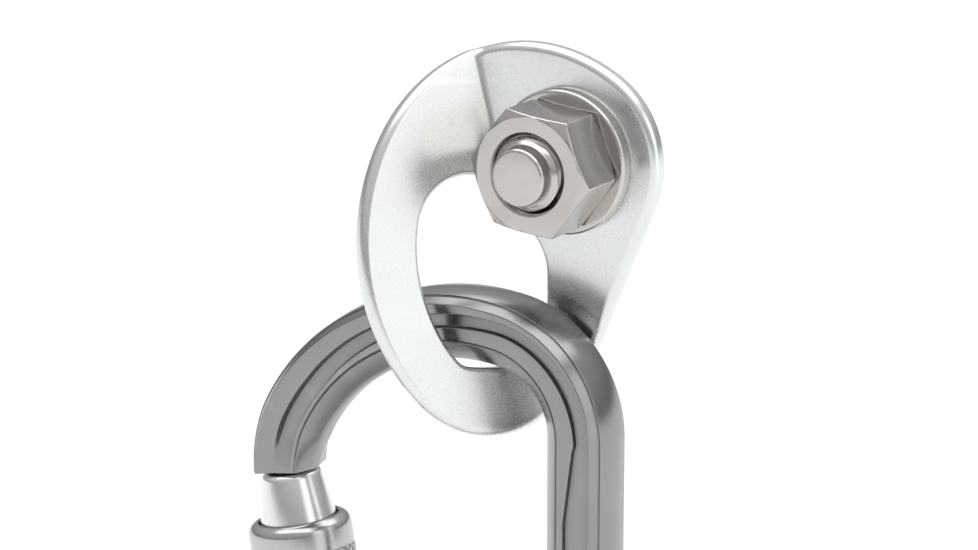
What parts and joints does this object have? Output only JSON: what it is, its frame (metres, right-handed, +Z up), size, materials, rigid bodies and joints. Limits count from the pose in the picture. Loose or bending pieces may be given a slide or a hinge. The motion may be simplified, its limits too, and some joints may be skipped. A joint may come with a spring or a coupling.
{
  "type": "bolt hanger with locking carabiner",
  "caption": "Bent plate hanger on a stud with washer and nut, carrying a screw-lock carabiner through its eye; anchors a rope to a wall.",
  "frame": {"origin": "on the stud's axis, in the wall plane, where the back of the hanger meets the wall", "axes": "+Z up, +Y into the wall along the stud, +X to the right for someone facing the wall"},
  "size_m": [0.0735, 0.0423, 0.1513],
  "materials": {
    "fastener_steel": "satin stainless, turned and rolled thread",
    "plate_steel": "tumbled satin stainless plate",
    "washer_steel": "stamped stainless, satin",
    "nut_steel": "machined stainless, satin",
    "frame_alloy": "gunmetal anodised, satin",
    "gate_steel": "bright polished alloy",
    "pin_steel": "ground stainless",
    "spring_wire": "drawn spring wire",
    "guide_nylon": "moulded, matt",
    "sleeve_alloy": "glossy grey anodised, knurled grip band"
  },
  "bodies": {
    "anchor": {"anchor_stud": "fastener_steel"},
    "hanger": {"hanger_plate": "plate_steel"},
    "washer": {"flat_washer": "washer_steel"},
    "nut": {"hex_nut": "nut_steel"},
    "carabiner": {"carabiner_frame": "frame_alloy"},
    "gate": {"gate_barrel": "gate_steel", "gate_rivet": "pin_steel", "gate_spring": "spring_wire", "sleeve_stop_ring": "pin_steel"},
    "pusher": {"spring_pusher": "pin_steel"},
    "sleeve_carrier": {"sleeve_guide_ring": "guide_nylon"},
    "sleeve": {"locking_sleeve": "sleeve_alloy"}
  },
  "joints": [
    {"name": "hanger_swivel", "type": "hinge", "parent": "anchor", "child": "hanger", "pos_m": [0, 0, 0], "axis": [0, 1, 0], "range_deg": [-45, 45]},
    {"name": "washer_slide", "type": "slide", "parent": "anchor", "child": "washer", "axis": [0, -1, 0], "range_m": [0, 0.0053]},
    {"name": "nut_spin", "type": "hinge", "parent": "washer", "child": "nut", "pos_m": [0, -0.0105, 0], "axis": [0, -1, 0], "range_deg": [0, 1080]},
    {"name": "carabiner_swing", "type": "hinge", "parent": "hanger", "child": "carabiner", "pos_m": [-0.00872, -0.0099, -0.0437], "axis": [0, 1, 0], "range_deg": [-5, 30]},
    {"name": "gate_hinge", "type": "hinge", "parent": "carabiner", "child": "gate", "pos_m": [-0.04055, -0.0099, -0.11244], "axis": [0, 1, 0], "range_deg": [0, 26], "stiffness_Nm_per_rad": 0.2, "springref_deg": -20.05},
    {"name": "pusher_slide", "type": "slide", "parent": "gate", "child": "pusher", "axis": [-0.1736, 0, 0.9848], "range_m": [0, 0.0006], "deforming": ["gate_spring"]},
    {"name": "sleeve_travel", "type": "slide", "parent": "gate", "child": "sleeve_carrier", "axis": [-0.1736, 0, 0.9848], "range_m": [0, 0.00665]},
    {"name": "sleeve_turn", "type": "hinge", "parent": "sleeve_carrier", "child": "sleeve", "pos_m": [-0.04055, -0.0099, -0.11244], "axis": [-0.1736, 0, 0.9848], "range_deg": [0, 1080]}
  ],
  "couplings": [
    {"joint": "washer_slide", "follows": "nut_spin", "m_per_rad": 0.00027852},
    {"joint": "pusher_slide", "follows": "gate_hinge", "m_per_rad": 0.0012},
    {"joint": "sleeve_travel", "follows": "sleeve_turn", "m_per_rad": 0.00035014}
  ]
}
